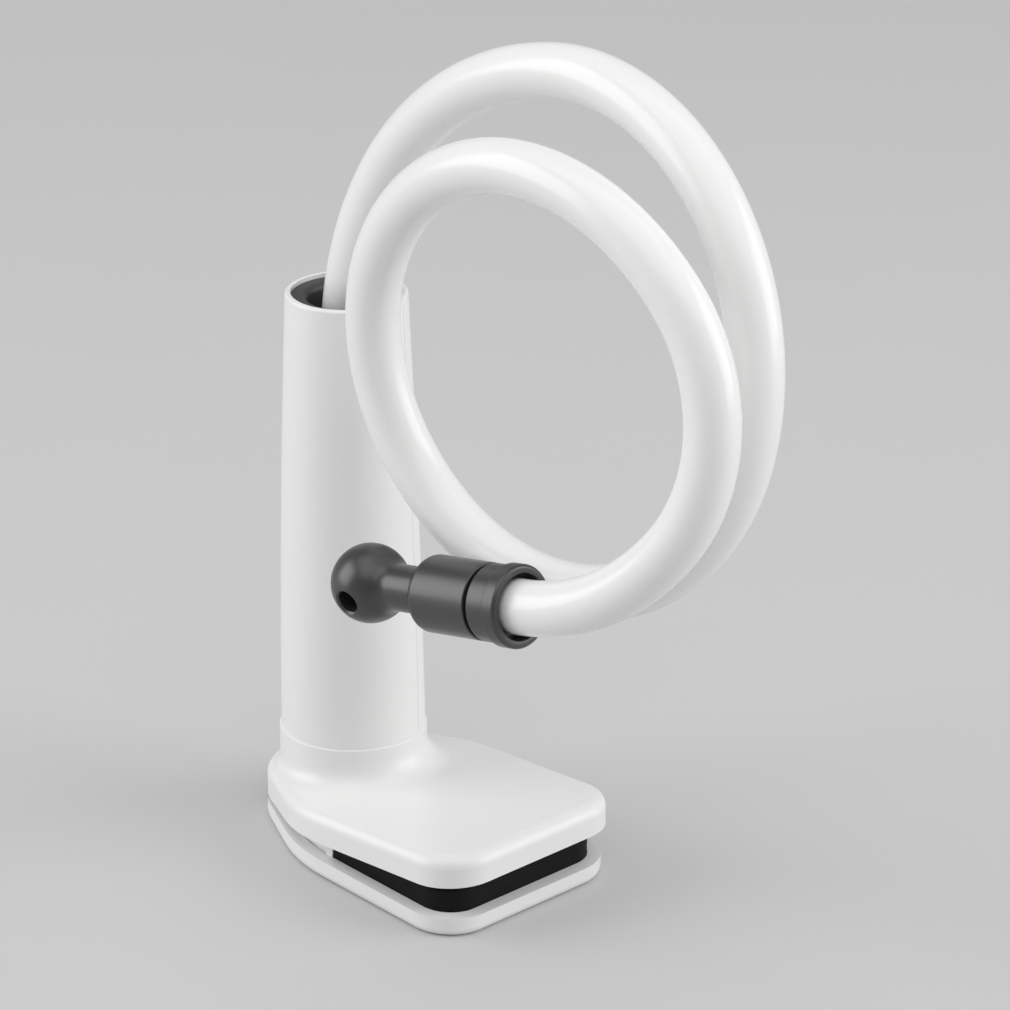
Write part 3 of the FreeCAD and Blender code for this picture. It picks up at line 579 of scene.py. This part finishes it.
class HOLDER_OT_connector(bpy.types.Operator):
    """Make the ball, its waisted stem and the ferrule, with the small rounded edges of a moulding"""

    bl_idname = "holder.connector"
    bl_label = "Ball Connector"

    def execute(self, context):
        sizes = context.scene.holder_connector
        mesh = bmesh.new()
        self.make_stem(mesh, sizes)
        self.make_ball(mesh, sizes)
        self.place(mesh, "ball_connector", "ball_stud")
        mesh = bmesh.new()
        self.make_ferrule(mesh, sizes, context.scene.holder_arm.radius)
        self.place(mesh, "ferrule_shell", "end_ferrule")
        return {"FINISHED"}

    def make_stem(self, mesh, sizes):
        """Neck that flares into the ball, body with a round shoulder, spigot and core socket."""
        turn = sizes.neck + sizes.flare
        level = math.sqrt((sizes.ball + sizes.flare) ** 2 - turn ** 2)
        start = math.atan2(-level, -turn) - FLARE_SUNK
        flare = arc((turn, level), sizes.flare, start, -math.pi, FLARE_STEPS)
        profile = [
            (0, flare[0][1]),
            *flare,
            (sizes.neck, sizes.body_start),
            (sizes.body, sizes.body_start),
            (sizes.body, sizes.body_end),
            (sizes.spigot, sizes.body_end),
            (sizes.spigot, sizes.spigot_end),
            (sizes.socket, sizes.spigot_end),
            (sizes.socket, sizes.socket_start),
            (0, sizes.socket_start),
        ]
        spun(mesh, profile, False, UP, sizes.sides)
        round_edge(mesh, sizes.body, sizes.body_start, sizes.shoulder, SHOULDER_SEGMENTS)
        round_edge(mesh, sizes.body, sizes.body_end, sizes.edge, EDGE_SEGMENTS)

    def make_ball(self, mesh, sizes):
        """Ball with a chamfered hole right through it, spun about the hole."""
        rim = sizes.hole + sizes.hole_rim
        start = math.asin(rim / sizes.ball)
        outside = arc((0, 0), sizes.ball, math.pi / 2 - start, start - math.pi / 2, BALL_STEPS)
        wall = outside[0][1] - sizes.hole_rim
        profile = [*outside, (sizes.hole, -wall), (sizes.hole, wall)]
        across = Vector((1, 0, 0))
        ball = bmesh.new()
        spun(ball, profile, True, across, sizes.sides)
        whole = bpy.data.meshes.new("ball")
        ball.to_mesh(whole)
        ball.free()
        mesh.from_mesh(whole)
        bpy.data.meshes.remove(whole)

    def make_ferrule(self, mesh, sizes, sleeve):
        """Ferrule that grips the sleeve, with a wider ring at its end."""
        start = sizes.body_end + sizes.groove
        seat = sizes.spigot + sizes.clear
        grip = sleeve + sizes.clear
        profile = [
            (seat, start),
            (sizes.body, start),
            (sizes.body, sizes.ring_start),
            (sizes.ring, sizes.ring_start),
            (sizes.ring, sizes.ring_end),
            (sizes.mouth, sizes.ring_end),
            (sizes.mouth, sizes.grip_end),
            (grip, sizes.grip_end),
            (grip, sizes.spigot_end),
            (seat, sizes.spigot_end),
        ]
        spun(mesh, profile, True, UP, sizes.sides)
        round_edge(mesh, sizes.body, start, sizes.edge, EDGE_SEGMENTS)
        round_edge(mesh, sizes.ring, sizes.ring_start, sizes.edge, EDGE_SEGMENTS)
        round_edge(mesh, sizes.ring, sizes.ring_end, sizes.lip, LIP_SEGMENTS)
        round_edge(mesh, sizes.mouth, sizes.ring_end, sizes.edge, EDGE_SEGMENTS)

    def place(self, mesh, name, node):
        """Put the shape where the node is, with normals that keep its flat faces flat."""
        bmesh.ops.transform(mesh, matrix=connector_matrix(), verts=mesh.verts)
        piece = add_piece(name, mesh, connector_plastic(), UPPER, [node])
        piece.data.set_sharp_from_angle(angle=SHARP)
        normals = piece.modifiers.new("normals", "WEIGHTED_NORMAL")
        normals.keep_sharp = True


class HOLDER_OT_mouth_ring(bpy.types.Operator):
    """Finish the ring in the column's mouth"""

    bl_idname = "holder.mouth_ring"
    bl_label = "Mouth Ring"

    def execute(self, context):
        dress(["mouth_ring"], ring_plastic())
        return {"FINISHED"}


class HOLDER_OT_hardware(bpy.types.Operator):
    """Finish the metal pieces inside: core, plug, screws and pin"""

    bl_idname = "holder.hardware"
    bl_label = "Inner Hardware"

    def execute(self, context):
        steel = ["arm_core", "arm_plug", "arm_screw", "column_screws", "hinge_pin"]
        dress(steel, plated_steel())
        return {"FINISHED"}


class HOLDER_OT_spring(bpy.types.Operator):
    """Wind the hinge spring with a leg along each jaw"""

    bl_idname = "holder.spring"
    bl_label = "Hinge Spring"

    def execute(self, context):
        spring = context.scene.holder_spring
        turns = spring.turns - context.scene.holder_arm.lean / math.tau
        angle = turns * math.tau
        steps = round(angle / spring.step)
        half = ALONG_PIN * (turns * spring.pitch / 2)
        start = HINGE - half - UP * spring.coil
        heading = Vector((spring.pitch / math.tau, spring.coil, 0)).normalized()
        turned = heading.to_track_quat("Z", "Y").to_matrix().to_4x4()
        tip = Matrix.Translation(start - heading * spring.leg) @ turned
        mesh = bmesh.new()
        ring = bmesh.ops.create_circle(mesh, segments=spring.sides, radius=spring.wire, cap_ends=True,
                                       matrix=tip)
        edges = extrude_ring(mesh, ring_edges(ring["verts"]), heading * spring.leg)
        climb = half * (2 / steps)
        made = bmesh.ops.spin(mesh, geom=edges, cent=HINGE, axis=ALONG_PIN, dvec=climb, angle=angle,
                              steps=steps)
        edges = last_ring(made)
        leaving = Matrix.Rotation(angle, 3, ALONG_PIN) @ heading
        edges = extrude_ring(mesh, edges, leaving * spring.leg)
        bmesh.ops.edgeloop_fill(mesh, edges=edges)
        bmesh.ops.recalc_face_normals(mesh, faces=mesh.faces)
        piece = add_piece("hinge_spring", mesh, plated_steel(), None, ["torsion_spring"])
        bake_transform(piece)
        return {"FINISHED"}


# Studio
def softbox(name, place, power, studio):
    """Square area lamp that faces the studio's aim and that the camera doesn't see."""
    lamp = bpy.data.lights.new(name, "AREA")
    lamp.shape = "RECTANGLE"
    lamp.size = studio.box_side
    lamp.size_y = studio.box_side
    lamp.energy = power
    holder = bpy.data.objects.new(name, lamp)
    holder.location = place
    holder.visible_camera = False
    facing = Vector(studio.aim) - Vector(place)
    holder.rotation_euler = facing.to_track_quat("-Z", "Y").to_euler()
    bpy.context.scene.collection.objects.link(holder)


class HOLDER_OT_stage(bpy.types.Operator):
    """Set up the floor, the even light, the softboxes and the camera"""

    bl_idname = "holder.stage"
    bl_label = "Studio"

    def execute(self, context):
        self.make_floor()
        self.make_light(context.scene)
        self.make_camera(context.scene)
        return {"FINISHED"}

    def make_floor(self):
        """Plain floor, a hair below the lower jaw."""
        mesh = bmesh.new()
        bmesh.ops.create_grid(mesh, x_segments=FLOOR_CELLS, y_segments=FLOOR_CELLS, size=FLOOR_HALF)
        bmesh.ops.translate(mesh, verts=mesh.verts, vec=UP * -FLOOR_DROP)
        data = bpy.data.meshes.new("studio_floor")
        mesh.to_mesh(data)
        mesh.free()
        data.materials.append(floor_material())
        floor = bpy.data.objects.new("studio_floor", data)
        bpy.context.scene.collection.objects.link(floor)

    def make_light(self, scene):
        """Even light all round and the softboxes."""
        world = bpy.data.worlds.new("studio")
        world.use_nodes = True
        background = world.node_tree.nodes["Background"]
        background.inputs["Color"].default_value = WHITE_LIGHT
        background.inputs["Strength"].default_value = scene.holder_studio.world
        scene.world = world
        for name, place, power in SOFTBOXES:
            softbox(name, place, power, scene.holder_studio)

    def make_camera(self, scene):
        """Camera at the photograph's viewing angle."""
        studio = scene.holder_studio
        turn = studio.azimuth
        lift = studio.elevation
        back = Vector((math.sin(turn) * math.cos(lift), -math.cos(turn) * math.cos(lift), math.sin(lift)))
        right = Vector((math.cos(turn), math.sin(turn), 0))
        level = Matrix((right, back.cross(right), back)).transposed()
        turned = Matrix.Rotation(studio.roll, 3, back) @ level
        data = bpy.data.cameras.new("photo camera")
        data.sensor_width = SENSOR
        data.lens = studio.lens
        data.clip_end = VIEW_DEPTH
        camera = bpy.data.objects.new("photo camera", data)
        camera.matrix_world = Matrix.Translation(studio.place) @ turned.to_4x4()
        scene.collection.objects.link(camera)
        scene.camera = camera
        scene.view_settings.view_transform = "Standard"


# Panel and registration
class HOLDER_PT_panel(bpy.types.Panel):
    """Steps of the holder, in the order they run"""

    bl_idname = "HOLDER_PT_panel"
    bl_label = "Gooseneck Holder"
    bl_space_type = "VIEW_3D"
    bl_region_type = "UI"
    bl_category = "Holder"

    def draw(self, context):
        for step in STEPS:
            self.layout.operator(step.bl_idname)
        for holder in GROUPS:
            group = getattr(context.scene, holder)
            column = self.layout.column()
            for name in group.bl_rna.properties.keys():
                if name not in ("rna_type", "name"):
                    column.prop(group, name)


STEPS = (
    HOLDER_OT_sleeve,
    HOLDER_OT_mouldings,
    HOLDER_OT_pads,
    HOLDER_OT_connector,
    HOLDER_OT_mouth_ring,
    HOLDER_OT_hardware,
    HOLDER_OT_spring,
    HOLDER_OT_stage,
)
GROUPS = {
    "holder_arm": HolderArm,
    "holder_connector": HolderConnector,
    "holder_spring": HolderSpring,
    "holder_colours": HolderColours,
    "holder_studio": HolderStudio,
}


def register():
    """Register the property groups, the operators and the panel."""
    for name, group in GROUPS.items():
        bpy.utils.register_class(group)
        setattr(bpy.types.Scene, name, PointerProperty(type=group))
    for step in STEPS:
        bpy.utils.register_class(step)
    bpy.utils.register_class(HOLDER_PT_panel)


def unregister():
    """Take everything out again."""
    bpy.utils.unregister_class(HOLDER_PT_panel)
    for step in reversed(STEPS):
        bpy.utils.unregister_class(step)
    for name, group in GROUPS.items():
        delattr(bpy.types.Scene, name)
        bpy.utils.unregister_class(group)


def main():
    """Make every piece and the studio."""
    register()
    bpy.ops.holder.sleeve()
    bpy.ops.holder.mouldings()
    bpy.ops.holder.pads()
    bpy.ops.holder.connector()
    bpy.ops.holder.mouth_ring()
    bpy.ops.holder.hardware()
    bpy.ops.holder.spring()
    bpy.ops.holder.stage()


if __name__ == "__main__":
    main()
